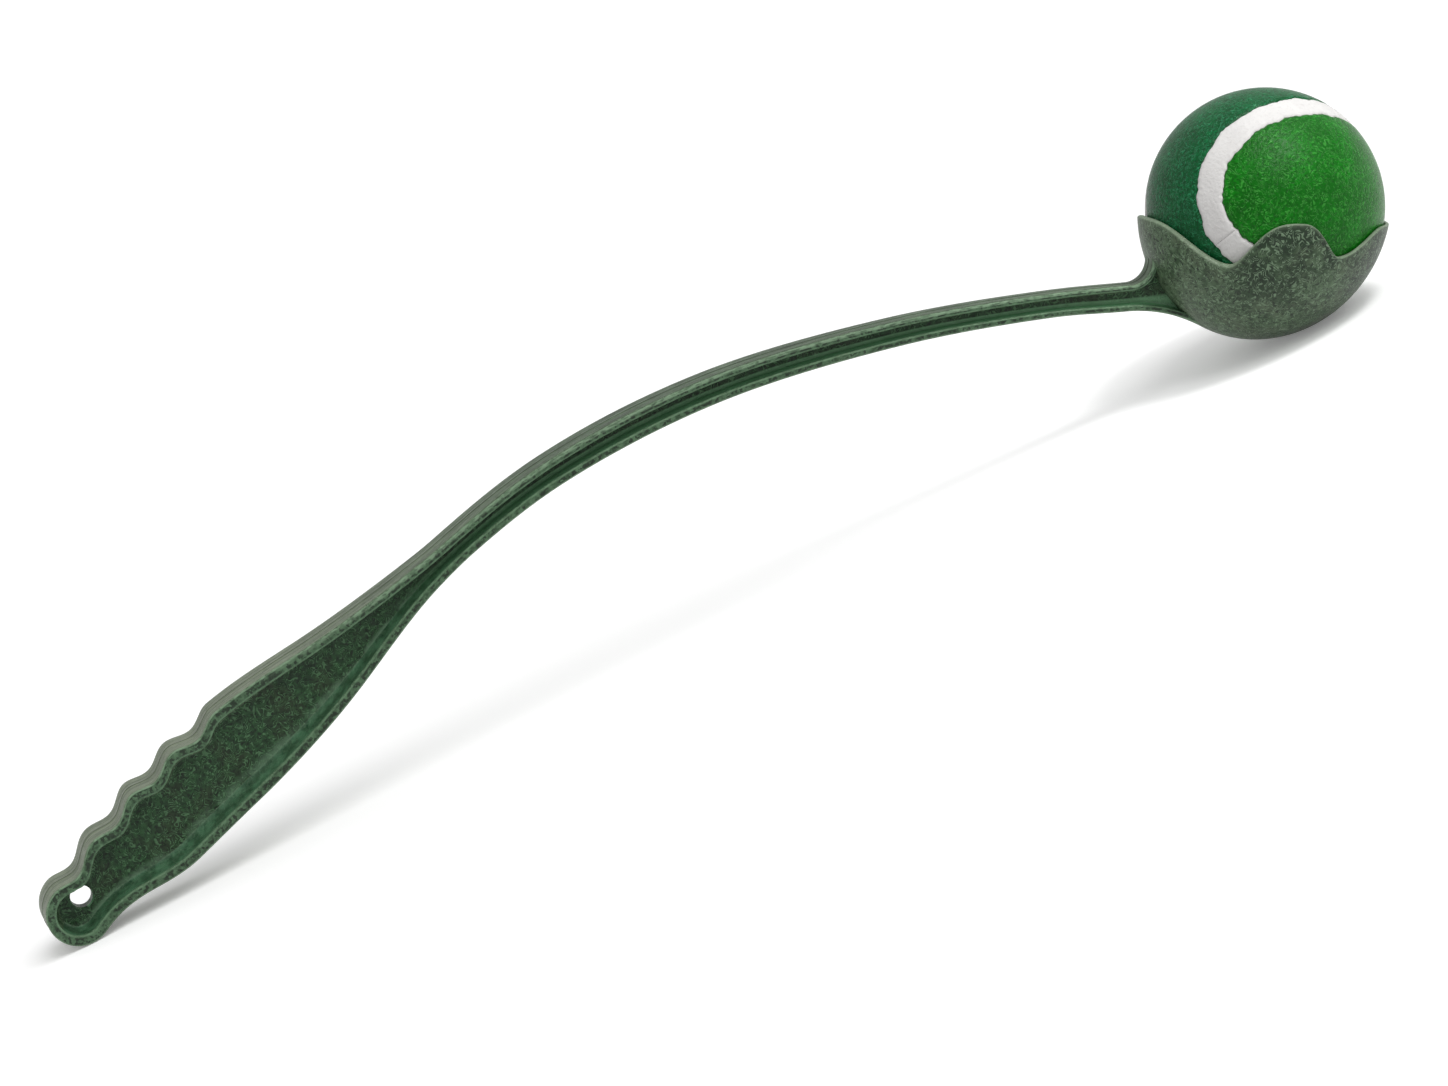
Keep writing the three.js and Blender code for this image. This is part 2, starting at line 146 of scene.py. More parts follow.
def curve_through(knots, per_run):
    """Points along the smooth curve through the knots."""
    knots = [2 * knots[0] - knots[1], *knots, 2 * knots[-1] - knots[-2]]
    points = []
    for before, start, end, after in zip(knots, knots[1:], knots[2:], knots[3:]):
        first, middle, last = (math.sqrt(gap.length) for gap in (start - before, end - start, after - end))
        leave = end - start + ((start - before) / first - (end - before) / (first + middle)) * middle
        arrive = end - start + ((after - end) / last - (after - start) / (middle + last)) * middle
        points += geometry.interpolate_bezier(start, start + leave / 3, end - arrive / 3, end, per_run)[:-1]
    return points + [knots[-2]]


spine = curve_through([Vector((-back * reach, -down * drop)) for back, down in spine_shares], spine_run_points)
spine_lengths = [0, *accumulate((after - before).length for before, after in zip(spine, spine[1:]))]
spine_length = spine_lengths[-1]


def spine_frame(place):
    """The spine's point, its direction, and the way to the convex side, at a length from the butt's centre."""
    index = next((i for i, length in enumerate(spine_lengths[1:-1]) if length >= place), len(spine) - 2)
    run = spine_lengths[index + 1] - spine_lengths[index]
    point = spine[index].lerp(spine[index + 1], (place - spine_lengths[index]) / run)
    low, high = max(index - course_reach, 0), min(index + 1 + course_reach, len(spine) - 1)
    along = (spine[high] - spine[low]).normalized()
    return point, along, Vector((-along.y, along.x))


convex_stops = [(0, butt_radius), (palm_start, palm_rise), (palm_end, palm_rise), (neck_at, neck_rise),
                (arch_at, arch_half), (ankle_at, ankle_half), (spine_length, root_half)]
concave_stops = [(0, butt_radius), (waist_at, waist_fall), (belly_start, belly_fall), (palm_end, belly_fall),
                 (under_neck_at, neck_fall), (arch_at, arch_half), (ankle_at, ankle_half), (spine_length, root_half)]


def straight(stops, place):
    """A value between stops of (place, value), in straight runs."""
    for (start, low), (end, high) in zip(stops, stops[1:]):
        if place <= end:
            return low + (high - low) * (place - start) / (end - start)
    return stops[-1][1]


def notch_cut(place):
    """How deep the finger notches are cut into the convex edge at a place along the spine."""
    if not 0 <= place <= notch_count * notch_pitch:
        return 0
    return notch_depth * (1 - math.cos(place / notch_pitch * 2 * math.pi)) / 2


# The cup's outside is an ellipsoid about the ball's centre, thickest at the heel where the arm comes in.
cup_clearance, lip_wall, side_wall, heel_wall = 0.0003, 0.0006, 0.0014, 0.0038
heel_angle = math.radians(-118)
cup_inner = ball_radius + cup_clearance
heel_axis = Vector((math.cos(heel_angle), math.sin(heel_angle)))
cross_axis = Vector((-heel_axis.y, heel_axis.x))


def cup_outer(direction):
    """How far the cup's outside lies from the ball's centre in a direction (x, y, height)."""
    flat = Vector(direction[:2])
    along, across = flat.dot(heel_axis), flat.dot(cross_axis)
    return 1 / math.sqrt((along / (cup_inner + heel_wall)) ** 2 + (across / (cup_inner + lip_wall)) ** 2
                         + (direction[2] / (cup_inner + side_wall)) ** 2)


def cup_meet(angle):
    """The point of the cup's outline at an angle, and the way out of the cup there."""
    direction = Vector((math.cos(angle), math.sin(angle)))
    point = direction * cup_outer((*direction, 0))
    out = (heel_axis * (point.dot(heel_axis) / (cup_inner + heel_wall) ** 2)
           + cross_axis * (point.dot(cross_axis) / (cup_inner + lip_wall) ** 2))
    return point, out.normalized()


# A station is a place along the spine with two functions, which give the convex and the concave edge there at an
# inset into the slice.
def butt_station(share):
    """The edges part from the butt's end and run round it, a quarter turn each."""
    point, along, convex = spine_frame(0)
    turn = (1 - share) * math.pi / 2

    def edge(side, inset):
        radius = butt_radius - inset
        return point - along * (radius * math.sin(turn)) + convex * (side * radius * math.cos(turn))

    return 0, lambda inset: edge(1, inset), lambda inset: edge(-1, inset)


def spine_station(place):
    point, along, convex = spine_frame(place)
    rise = between(convex_stops, place) - notch_cut(place)
    fall = between(concave_stops, place)
    return place, lambda inset: point + convex * (rise - inset), lambda inset: point + convex * (inset - fall)


def root_station(share):
    """The convex edge turns up the cup's back in a fillet; the concave edge runs on to touch the cup's bottom."""
    point, along, convex = spine_frame(spine_length)
    meet, out = cup_meet(upper_meet_angle)
    radius = (meet - point - convex * root_half).dot(convex) / (1 - out.dot(convex))
    centre = meet + out * radius
    turn = share * math.acos(out.dot(convex))
    spoke = along * math.sin(turn) - convex * math.cos(turn)
    start = point - convex * root_half
    touch, under = cup_meet(lower_meet_angle)
    slope = Vector((-under.y, under.x))
    corner = touch - slope * ((touch - start).cross(along) / slope.cross(along))
    lower = start.lerp(corner, share).lerp(corner.lerp(touch, share), share)
    course = (corner - start).lerp(touch - corner, share).normalized()
    return (spine_length, lambda inset: centre + spoke * (radius + inset),
            lambda inset: lower + Vector((-course.y, course.x)) * inset)


places = [0]
while places[-1] < spine_length - arm_step:
    place = places[-1]
    places.append(place + (notch_step if place < notch_count * notch_pitch else
                           taper_step if place < arch_at else arm_step))
beam_stations = [butt_station(step / butt_step_count) for step in range(butt_step_count)]
beam_stations += [spine_station(place) for place in [*places, spine_length]]
beam_stations += [root_station((step + 1) / root_step_count) for step in range(root_step_count)]


def half_slice(place, cove_stops):
    """The slice's outline from the parting line over the rim and down to the web, as (inset, height)."""
    top = straight([(0, butt_thickness), (neck_at, neck_thickness), (arch_at, arch_thickness),
                    (spine_length, root_thickness)], place) / 2
    rim = straight([(0, handle_rim), (palm_end, handle_rim), (neck_at, neck_rim), (spine_length, root_rim)], place)
    floor = straight([(0, butt_web), (palm_end, butt_web), (neck_at, neck_web), (spine_length, root_web)], place) / 2
    cove = straight(cove_stops, place)
    skin = outline_inset
    outline = [(skin - flash_height, 0), (skin, flash_width / 2)]
    outline += [(skin, flash_width / 2 + (top - outer_edge_radius - flash_width / 2) * step / side_steps)
                for step in range(1, side_steps)]
    for step in range(outer_corner_steps + 1):
        turn = step / outer_corner_steps * math.pi / 2
        outline.append((skin + outer_edge_radius * (1 - math.cos(turn)),
                        top - outer_edge_radius * (1 - math.sin(turn))))
    face_start = skin + outer_edge_radius
    outline += [(face_start + (rim - face_start - inner_edge_radius) * step / face_steps, top)
                for step in range(1, face_steps)]
    for step in range(inner_corner_steps + 1):
        turn = step / inner_corner_steps * math.pi / 2
        outline.append((rim - inner_edge_radius * (1 - math.sin(turn)),
                        top - inner_edge_radius * (1 - math.cos(turn))))
    depth = top - inner_edge_radius - floor
    for step in range(1, cove_steps + 1):
        turn = step / cove_steps * math.pi / 2
        outline.append((rim + cove * (1 - math.cos(turn)), floor + depth * (1 - math.sin(turn))))
    return outline


def cove_stops(palm_cove):
    """The width of the hollow curve that leads from a rim down to the web."""
    return [(0, butt_cove), (palm_start, palm_cove), (palm_end, palm_cove), (neck_at, arm_cove),
            (spine_length, arm_cove)]


outline_columns = len(half_slice(0, cove_stops(0)))
beam_columns = 2 * outline_columns + web_columns
# Each row of the beam's skin is a slice's outline. Its map gives the share across the slice and the metres along it.
rows_of_points = []
rows_of_spots = []
for place, convex, concave in beam_stations:
    upper = [(convex(inset), height) for inset, height in half_slice(place, cove_stops(convex_palm_cove))]
    lower = [(concave(inset), height) for inset, height in half_slice(place, cove_stops(concave_palm_cove))]
    (upper_foot, height), (lower_foot, _) = upper[-1], lower[-1]
    web = [(upper_foot.lerp(lower_foot, (step + 1) / (web_columns + 1)), height) for step in range(web_columns)]
    rows_of_points.append([in_frame(*point, height) for point, height in [*upper, *web, *reversed(lower)]])
run = 0
for row, points in enumerate(rows_of_points):
    middle = points[beam_columns // 2]
    run += (middle - rows_of_points[row - 1][beam_columns // 2]).length if row else 0
    rows_of_spots.append([(column / (beam_columns - 1), run) for column in range(beam_columns)])


def in_wall(point, narrow=1):
    """The place in the middle of the cup's wall that lies under a point of the beam."""
    away = point - ball_centre
    direction = Vector((away.dot(forward), away.dot(mouth), away.dot(outward) * narrow)).normalized()
    return in_frame(*(direction * (cup_inner + cup_outer(direction)) / 2))


# The beam runs on under the cup's skin, where the two become one, and closes inside the cup's wall.
for points in rows_of_points[-root_step_count:]:
    for index, point in enumerate(points):
        if (point - ball_centre).length < (in_wall(point) - ball_centre).length:
            points[index] = in_wall(point)
last_row = rows_of_points[-1]
for step in range(end_rows):
    rows_of_points.append([in_wall(point, 1 - step / (end_rows - 1)) for point in last_row])
    rows_of_spots.append(rows_of_spots[-1])

beam = shaped_grid("launcher_moulding", beam_columns, len(rows_of_points),
                   lambda column, row: rows_of_points[row][column], lambda column, row: rows_of_spots[row][column])
apply(beam, "MIRROR", use_axis=(False, True, False), use_clip=True, merge_threshold=mirror_merge)
closed_up(beam)


# The hang hole: the round hole beside the butt by which the thrower hangs on a hook. It was cored through the web
# by a pin in the mould, and both its mouths are eased.
hole_radius, hole_ease, hole_sides = 0.003, 0.00035, 64
hole_along, hole_aside = 0.0034, 0.0012
point, along, convex = spine_frame(0)
hole_centre = in_frame(*(point + along * hole_along + convex * hole_aside), 0)
bpy.ops.mesh.primitive_cylinder_add(vertices=hole_sides, radius=hole_radius, depth=butt_web - 2 * hole_ease,
                                    location=hole_centre, rotation=(math.pi / 2, 0, 0), end_fill_type="NGON")
pin = bpy.context.object
bpy.ops.object.transform_apply()
wider = 1 + 2 * hole_ease / hole_radius
for side in (-1, 1):
    bpy.ops.object.mode_set(mode="EDIT")
    bpy.ops.mesh.select_mode(type="FACE")
    bpy.ops.mesh.select_all(action="DESELECT")
    bpy.ops.object.mode_set(mode="OBJECT")
    for face in pin.data.polygons:
        face.select = face.normal.y * side > 0.9
    bpy.ops.object.mode_set(mode="EDIT")
    bpy.ops.mesh.extrude_region_move(TRANSFORM_OT_translate={"value": (0, side * 2 * hole_ease, 0)})
    bpy.ops.transform.resize(value=(wider, 1, wider))
    bpy.ops.mesh.extrude_region_move(TRANSFORM_OT_translate={"value": (0, side * butt_thickness / 2, 0)})
    bpy.ops.object.mode_set(mode="OBJECT")
bpy.ops.object.mode_set(mode="EDIT")
bpy.ops.mesh.select_mode(type="VERT")
bpy.ops.mesh.select_all(action="SELECT")
bpy.ops.mesh.normals_make_consistent(inside=False)
bpy.ops.object.mode_set(mode="OBJECT")
bpy.ops.object.select_all(action="DESELECT")
apply(beam, "BOOLEAN", object=pin, operation="DIFFERENCE", solver="EXACT")
bpy.data.objects.remove(pin)


# The cup: a thin shell of the same shot round the lower half of the ball. Its rim rises in a petal at the back,
# at the front and on each side, which spring over the ball's middle, and dips in a valley between them.
front_tip_drop, front_valley_drop, side_tip_drop = 0.0029, 0.0107, 0.0012
back_valley_drop, back_tip_drop = 0.0138, 0.0028
# Each run of the rim: the azimuths of its tip and valley, how far each lies below the ball's middle, the bluntness.
rim_runs = [(34, 68, front_tip_drop, front_valley_drop, 1.1), (90, 68, side_tip_drop, front_valley_drop, 1.3),
            (90, 124, side_tip_drop, back_valley_drop, 1.6), (180, 124, back_tip_drop, back_valley_drop, 1.6)]
lip_bulge_share = 0.3
back_flare, flare_spread, flare_depth = 0.0007, 30, math.radians(26)
cup_columns, wall_rows, lip_rows, hollow_rows = 240, 60, 10, 44
launcher_smooth_angle = math.radians(38)


def rim_latitude(azimuth):
    """How far below the ball's middle the rim lies, as an angle, at an azimuth in degrees from the front."""
    drop_here = front_tip_drop
    for tip, valley, tip_drop, valley_drop, bluntness in rim_runs:
        if min(tip, valley) <= azimuth <= max(tip, valley):
            share = (azimuth - tip) / (valley - tip)
            drop_here = tip_drop + (valley_drop - tip_drop) * smooth(share ** bluntness)
    return -math.atan(drop_here / cup_inner)


def cup_spot(column, row):
    """The rows run up the outside from the bottom, over the rounded lip and down the inside to the bottom."""
    turn = column / cup_columns * 2 * math.pi
    azimuth = math.degrees(min(turn, 2 * math.pi - turn))

    def direction(latitude):
        level = math.cos(latitude)
        return Vector((level * math.cos(turn), math.sin(latitude), level * math.sin(turn)))

    def outside(latitude):
        """The back petal leans out a little towards its tip, where the arm's flange runs out on it."""
        lean = smooth(1 - (180 - azimuth) / flare_spread) * smooth(1 + latitude / flare_depth)
        return cup_outer(direction(latitude)) + back_flare * lean

    rim = rim_latitude(azimuth)
    outer = outside(rim)
    bulge = lip_bulge_share * (outer - cup_inner)
    rim -= bulge / cup_inner
    if row < wall_rows:
        latitude = -math.pi / 2 + (rim + math.pi / 2) * row / (wall_rows - 1)
        spot = direction(latitude) * outside(latitude)
    elif row < wall_rows + lip_rows:
        share = (row - wall_rows + 1) / (lip_rows + 1)
        radius = cup_inner + (outer - cup_inner) * (1 + math.cos(share * math.pi)) / 2
        spot = direction(rim + bulge * math.sin(share * math.pi) / radius) * radius
    else:
        share = (row - wall_rows - lip_rows) / (hollow_rows - 1)
        spot = direction(rim - (rim + math.pi / 2) * share) * cup_inner
    return in_frame(*spot)


# On the map the cup lies apart from the beam: its rows run from 2 to 3.
cup_rows = wall_rows + lip_rows + hollow_rows
cup = shaped_grid("cup", cup_columns + 1, cup_rows, cup_spot,
                  lambda column, row: (2 + row / cup_rows, column / cup_columns))
closed_up(cup)
bpy.ops.object.select_all(action="DESELECT")
apply(beam, "BOOLEAN", object=cup, operation="UNION", solver="EXACT")
bpy.data.objects.remove(cup)
bpy.context.view_layer.objects.active = beam
beam.select_set(True)
bpy.ops.object.shade_smooth_by_angle(angle=launcher_smooth_angle)
bpy.ops.object.select_all(action="DESELECT")


# The launcher's finish: a dark green plastic filled with short plant fibres, which show as dark and pale curls.
# The web is painted darker as the shade of its recess, the rims carry a row of dark fibre ends, their corners and the
# cup's lip carry painted highlights, the coves carry painted light and shade, and the handle's flanges are paler and
# greyer.
class Socket:
    """A node's output that takes part in formulas."""

    def __init__(self, finish, link):
        self.finish = finish
        self.link = link

    def maths(self, operation, first, second=0):
        return self.finish.node("ShaderNodeMath", {"operation": operation}, {0: first, 1: second})

    def __add__(self, other):
        return self.maths("ADD", self, other)

    def __radd__(self, other):
        return self.maths("ADD", other, self)

    def __sub__(self, other):
        return self.maths("SUBTRACT", self, other)

    def __rsub__(self, other):
        return self.maths("SUBTRACT", other, self)

    def __mul__(self, other):
        return self.maths("MULTIPLY", self, other)

    def __rmul__(self, other):
        return self.maths("MULTIPLY", other, self)

    def __abs__(self):
        return self.maths("ABSOLUTE", self)


class Finish:
    """A material and its nodes."""

    def __init__(self, name, roughness, **constants):
        self.material = bpy.data.materials.new(name)
        self.material.use_nodes = True
        self.tree = self.material.node_tree
        self.shader = self.tree.nodes["Principled BSDF"]
        self.shader.inputs["Roughness"].default_value = roughness
        for socket, value in constants.items():
            self.shader.inputs[socket.replace("_", " ")].default_value = value
        self.place = self.node("ShaderNodeTexCoord", output="Object")

    def node(self, kind, settings=None, inputs=None, output=0):
        """A node of a kind with its settings, and the values or links of its sockets. Gives one of its outputs."""
        node = self.tree.nodes.new(kind)
        for name, value in (settings or {}).items():
            setattr(node, name, value)
        for name, value in (inputs or {}).items():
            self.feed(node.inputs[name], value)
        return Socket(self, node.outputs[output])

    def feed(self, socket, value):
        if isinstance(value, Socket):
            self.tree.links.new(value.link, socket)
        else:
            socket.default_value = value

    def moved(self, offset):
        """Places shifted by an offset, so that a second pattern of a kind lies apart from the first."""
        return self.node("ShaderNodeVectorMath", {"operation": "ADD"}, {0: self.place, 1: offset})

    def part(self, vector, axis):
        """One number of a vector."""
        return self.node("ShaderNodeSeparateXYZ", inputs={0: vector}, output=axis)

    def joined(self, *parts):
        """A vector of three numbers."""
        return self.node("ShaderNodeCombineXYZ", inputs=dict(enumerate(parts)))

    def noise(self, size, place=None, detail=2, distortion=0, roughness=0.5):
        """Soft clouds, from 0 to 1, about as far apart as size in metres."""
        inputs = {"Vector": place or self.place, "Scale": 1 / size, "Detail": detail, "Distortion": distortion,
                  "Roughness": roughness}
        return self.node("ShaderNodeTexNoise", inputs=inputs)

    def step(self, value, low, high):
        """0 below low and 1 above high, or the other way round, with a smooth rise between."""
        inputs = {"Value": value, "From Min": low, "From Max": high}
        return self.node("ShaderNodeMapRange", {"interpolation_type": "SMOOTHSTEP"}, inputs)

    def tint(self, share, first, second):
        """The second colour laid over the first, as far as the share says."""
        inputs = {0: share}
        for index, colour in ((6, first), (7, second)):
            inputs[index] = colour if isinstance(colour, Socket) else (*colour, 1)
        return self.node("ShaderNodeMix", {"data_type": "RGBA"}, inputs, output=2)

    def colour(self, value):
        self.feed(self.shader.inputs["Base Color"], value)

    def relief(self, height, depth):
        """Small hollows and rises, at most as high as depth in metres."""
        inputs = {"Height": height, "Strength": 1.0, "Distance": depth}
        self.feed(self.shader.inputs["Normal"], self.node("ShaderNodeBump", inputs=inputs))


def srgb(red, green, blue):
    """A colour of the photograph's kind, 0 to 255, as the light that it stands for."""
    return tuple((part / 255 / 12.92) if part <= 10 else ((part / 255 + 0.055) / 1.055) ** 2.4
                 for part in (red, green, blue))


def strands(finish, size, turns, seed):
    """Short soft strands that lie every way: contour lines of a bent noise, cut into lengths."""
    moved = finish.moved((seed, seed, -seed))
    bent = finish.noise(size, moved, detail=0, distortion=1.0)
    wave = finish.node("ShaderNodeMath", {"operation": "SINE"}, {0: bent * turns})
    lengths = finish.step(finish.noise(size * 0.55, moved, detail=0), 0.38, 0.54)
    return finish.step(wave, 0.05, 0.95) * lengths


rim_map_width, grain_stretch, witness_height = 0.043, 0.05, 0.0034
plastic = Finish("plant_fibre_plastic", 0.42, Specular_IOR_Level=0.28)
surface_map = plastic.node("ShaderNodeTexCoord", output="UV")
across, along_beam = plastic.part(surface_map, 0), plastic.part(surface_map, 1)
ahead, off_plane = plastic.part(plastic.place, 0), abs(plastic.part(plastic.place, 1))
# How many columns of the slice lie between a point and the nearer edge.
edge_distance = (beam_columns - 1) * (0.5 - abs(across - 0.5))
on_beam = plastic.step(across, 1.02, 1.01)
concave_side = plastic.step(across, 0.49, 0.51) * on_beam


def band(start, full, last, end):
    """A band of the slice's outline, by the numbers of its columns from the nearer edge."""
    return plastic.step(edge_distance, start, full) * plastic.step(edge_distance, end, last) * on_beam


# Columns 0 to 3 are the flange, 4 to 9 its corner with the rim's face, 10 to 12 the face, 13 to 16 the face's inner
# corner and 17 to 25 the cove, and the web has the rest. On the arm the convex outer corner's painted highlight is
# wider and lies further in.
flange, rim_face = band(-2, -1, 4, 6), band(6, 8, 13, 15)
highlight_shifted_in = plastic.step(along_beam, 0.07, 0.13) * (on_beam - concave_side)
outer_corner = plastic.tint(highlight_shifted_in, band(4, 5.5, 7, 8.5), band(5, 7, 9.5, 11))
inner_corner, cove = band(12, 13.5, 15.5, 17), band(15, 17, 24, 24.9)
cove_foot, web = band(23.4, 24.4, 24.9, 26.4), band(24.6, 25, 60, 61)
# The band of the cup's rounded lip that gets a painted highlight.
lip_highlight = plastic.step(abs(across - (2 + (wall_rows + lip_rows / 2) / cup_rows)), lip_rows * 0.75 / cup_rows,
                   lip_rows * 0.35 / cup_rows)

# The ground: a mottle of two greens, greyer in clouds, with a dark flow over the front petals, and a web painted
# darker as the shade of its recess.
mottle = plastic.step(plastic.noise(0.0016, detail=3, distortion=0.6), 0.28, 0.72)
ground = plastic.tint(mottle, srgb(50, 72, 47), srgb(82, 105, 77))
grey_cloud = plastic.step(plastic.noise(0.009, detail=3), 0.44, 0.66)
ground = plastic.tint(grey_cloud * 0.4, ground, srgb(90, 100, 80))
front_petals = plastic.step(across, 2.16, 2.42) * plastic.step(ahead, 0.142, 0.160)
dark_flow = plastic.step(plastic.noise(0.008, detail=3), 0.34, 0.56) * front_petals
ground = plastic.tint(dark_flow * 0.95, ground, srgb(20, 42, 21))
# Painted shade: the web between the rims gets a darker ground, with brown clouds in it.
shaded_web_ground = plastic.tint(mottle, srgb(18, 43, 22), srgb(40, 78, 43))
brown_cloud = plastic.step(plastic.noise(0.010, detail=2), 0.48, 0.66)
shaded_web_ground = plastic.tint(brown_cloud * 0.45, shaded_web_ground, srgb(37, 41, 24))
body_colour = plastic.tint(web, ground, shaded_web_ground)

# The fibres: dark and pale strands over the ground. The cup's lip carries a painted highlight.
dark_fibres = strands(plastic, 0.0022, 34, 0.0)
pale_fibres = strands(plastic, 0.0023, 38, 0.57)
# Painted shade: in the web the dark and pale strands are darker too.
dark_fibre_and_web_shade_tone = plastic.tint(web, srgb(20, 34, 20), srgb(10, 28, 12))
pale_fibre_and_web_shade_tone = plastic.tint(web, srgb(130, 156, 126), srgb(88, 128, 90))
body_colour = plastic.tint(pale_fibres * 0.6, plastic.tint(dark_fibres * 0.9, body_colour, dark_fibre_and_web_shade_tone), pale_fibre_and_web_shade_tone)
# Painted highlight along the cup's rounded lip.
lip_highlight_colour = plastic.tint(plastic.noise(0.002, detail=2), srgb(102, 120, 98), srgb(134, 148, 126))
body_colour = plastic.tint(lip_highlight * 0.75, body_colour, lip_highlight_colour)

# The coves: painted shade on the convex side, and on the concave side a smooth, bluer green, lighter as painted
# light.
# The arm's lower wall carries painted light with a painted highlight line along its web, and the web's foot a broken
# painted highlight.
lit_arm_floor = plastic.step(across, 0.505, 0.535) * band(16, 20, 60, 61) * plastic.step(along_beam, 0.11, 0.16)
patches = plastic.step(plastic.noise(0.0035, detail=3), 0.36, 0.64)
# Painted light: the concave cove faces up into the light and is lighter; the convex one takes the web's painted
# shade.
lit_smooth_green = plastic.tint(patches, srgb(40, 77, 52), srgb(73, 117, 86))
cove_light_and_shade = plastic.tint(concave_side, shaded_web_ground, lit_smooth_green)
body_colour = plastic.tint(cove * (0.35 + 0.42 * concave_side), body_colour, cove_light_and_shade)
# Painted light on the arm's lower wall and web, then a painted highlight line along the middle of the web.
body_colour = plastic.tint(lit_arm_floor * 0.85, body_colour, srgb(84, 132, 92))
body_colour = plastic.tint(lit_arm_floor * plastic.step(across, 0.56, 0.54) * 0.5, body_colour, srgb(116, 156, 120))
# A broken painted highlight along the concave cove's foot at the web.
foot_highlight = cove_foot * concave_side * plastic.step(plastic.noise(0.006, detail=2), 0.30, 0.60)
body_colour = plastic.tint(foot_highlight * 0.7, body_colour, srgb(100, 132, 104))

# The rims: mottled, with a row of dark fibre ends and a broken painted highlight along both corners.
rim_run = plastic.joined(along_beam, across * rim_map_width, off_plane)
fibre_ends = plastic.step(plastic.noise(0.0012, detail=2), 0.49, 0.57) * band(7.5, 9, 12, 13.5)
rim_mottle = plastic.step(plastic.noise(0.0014, detail=3), 0.3, 0.7)
rim_colour = plastic.tint(rim_mottle, srgb(44, 70, 46), srgb(84, 115, 85))
rim_colour = plastic.tint(fibre_ends * 0.9, rim_colour, srgb(18, 32, 20))
body_colour = plastic.tint(rim_face * 0.9, body_colour, rim_colour)
# The painted highlights along the rims' corners are broken by a noise; the inner corners' one is laid here.
highlight_breakup = plastic.step(plastic.noise(0.0022, rim_run, detail=2), 0.40, 0.58)
body_colour = plastic.tint(inner_corner * (0.25 + 0.45 * highlight_breakup), body_colour, srgb(104, 138, 106))

# The flanges: a grain drawn out along them, greyer and paler on the handle, with dirt, the parting line and a witness
# line on each side of it.
flange_run = plastic.joined(along_beam * grain_stretch, off_plane, concave_side)
grain = plastic.noise(0.0008, flange_run, detail=4, roughness=0.65)
# Greyer and paler towards the butt.
on_handle_share = plastic.step(along_beam, 0.20, 0.06)
flange_dark = plastic.tint(on_handle_share, srgb(40, 59, 38), srgb(88, 101, 80))
flange_pale = plastic.tint(on_handle_share, srgb(98, 122, 94), srgb(132, 143, 119))
flange_colour = plastic.tint(plastic.step(grain, 0.34, 0.66), flange_dark, flange_pale)
dirt = plastic.step(plastic.noise(0.0016, detail=3), 0.42, 0.66) * (0.55 - 0.35 * on_handle_share)
flange_colour = plastic.tint(dirt, flange_colour, srgb(60, 74, 54))
parting_line = plastic.step(off_plane, 0.0006, 0.0001)
witness_line = plastic.step(abs(off_plane - witness_height), 0.0006, 0.0001)
flange_colour = plastic.tint(parting_line * 0.6, flange_colour, srgb(50, 58, 44))
flange_colour = plastic.tint(witness_line * 0.5, flange_colour, srgb(66, 76, 58))
body_colour = plastic.tint(flange, body_colour, flange_colour)
# The broken painted highlight along the rims' outer corners.
body_colour = plastic.tint(outer_corner * (0.25 + 0.55 * highlight_breakup), body_colour, srgb(130, 158, 128))
plastic.colour(body_colour)
plastic.feed(plastic.shader.inputs["Roughness"], 0.32 + 0.2 * plastic.noise(0.002, detail=3))
plastic.relief(plastic.noise(0.0008, detail=3) + 0.6 * pale_fibres - 0.6 * dark_fibres, 0.00009)

beam.data.materials.clear()
beam.data.materials.append(plastic.material)
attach(beam, "launcher")
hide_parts("launcher")


# The ball's core: two half shells of black rubber, moulded hollow and cemented together at the rim. The felt
# hides them, so the solids are shown as they are, in rubber dusted grey by the mould.
rubber = Finish("core_rubber", 0.8, Specular_IOR_Level=0.35)
dust = rubber.step(rubber.noise(0.004, detail=4), 0.42, 0.66)
rubber.colour(rubber.tint(dust * 0.5, srgb(34, 35, 34), srgb(62, 62, 60)))
rubber.relief(rubber.noise(0.0012, detail=3), 0.0001)
for name in ("core_half_a", "core_half_b"):
    half = frame["nodes"][name]
    half.data.materials.clear()
    half.data.materials.append(rubber.material)


# The two felt blanks: dumb-bells cut by hand from needled felt, one dark green and one bright green, cemented over
# the core so that each wraps the other along a tennis ball's seam. Their cut edges wander a little from it, and the
# short mottled nap rolls down there.
felt_thickness, glue_gap = 0.0026, 0.0001
strip_width, cut_gap = 0.0078, 0.00010
panel_rows, panel_columns, lobe_end, edge_crowding = 401, 61, 0.017, 0.13
seam_lobe_share, seam_steps = 0.25, 7200
roll, pitch, yaw = math.radians(-123), math.radians(-56), math.radians(-54)
wander_size, wander_depth, wander_fade = 0.0034, 0.00075, 0.004
fine_wander_share, fine_wander_ratio = 0.45, 2.9
edge_roll, roll_width = 0.0004, 0.0010
felt_smooth_angle = math.radians(50)
plane_axes = Matrix((forward, mouth, outward)).transposed()
ball_turn = plane_axes @ Matrix.Rotation(yaw, 3, "Z") @ Matrix.Rotation(pitch, 3, "Y") @ Matrix.Rotation(roll, 3, "X")


def seam_frame(turn):
    """The seam's direction from the ball's centre at a turn, and the direction across it."""
    lobe, height = seam_lobe_share, 2 * math.sqrt(seam_lobe_share * (1 - seam_lobe_share))
    point = Vector(((1 - lobe) * math.cos(turn) + lobe * math.cos(3 * turn),
                    (1 - lobe) * math.sin(turn) - lobe * math.sin(3 * turn), height * math.sin(2 * turn)))
    along = Vector((-(1 - lobe) * math.sin(turn) - 3 * lobe * math.sin(3 * turn),
                    (1 - lobe) * math.cos(turn) - 3 * lobe * math.cos(3 * turn), 2 * height * math.cos(2 * turn)))
    return point.normalized(), point.cross(along).normalized()


